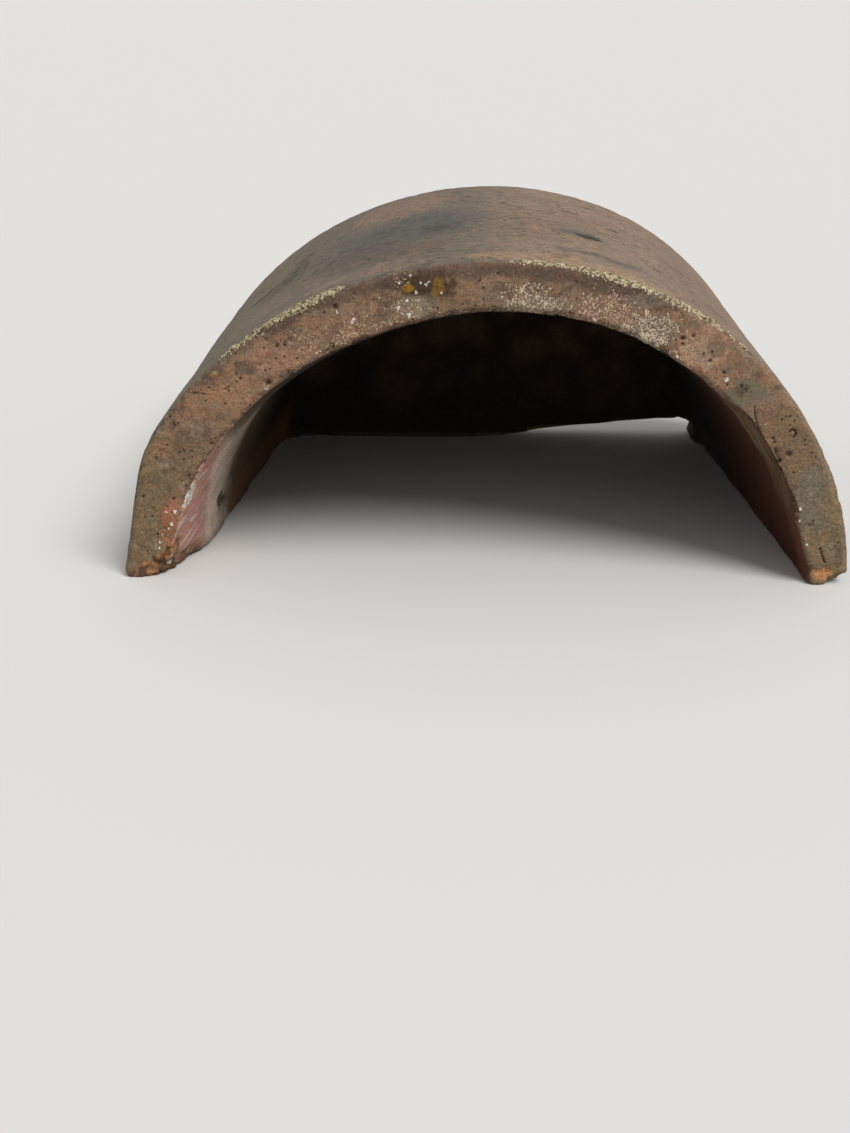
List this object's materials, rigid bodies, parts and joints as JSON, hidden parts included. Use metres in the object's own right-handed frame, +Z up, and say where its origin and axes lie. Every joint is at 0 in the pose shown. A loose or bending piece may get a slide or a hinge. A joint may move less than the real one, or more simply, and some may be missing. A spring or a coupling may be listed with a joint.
{
  "type": "closed-end ridge tile",
  "caption": "Half-round ridge tile in fired clay, open at the mouth and closed by a wall at the far end, with worn and chipped edges.",
  "frame": {"origin": "on the ground, in the middle of the tile's box", "axes": "+X across the tile over its two legs, +Y from the open mouth to the closed end, +Z up from the ground to the crown"},
  "size_m": [0.2574, 0.195, 0.114],
  "materials": {
    "fired_clay": "matte weathered terracotta with lichen and dirt"
  },
  "bodies": {
    "root": {"ridge_tile": "fired_clay"}
  },
  "joints": []
}
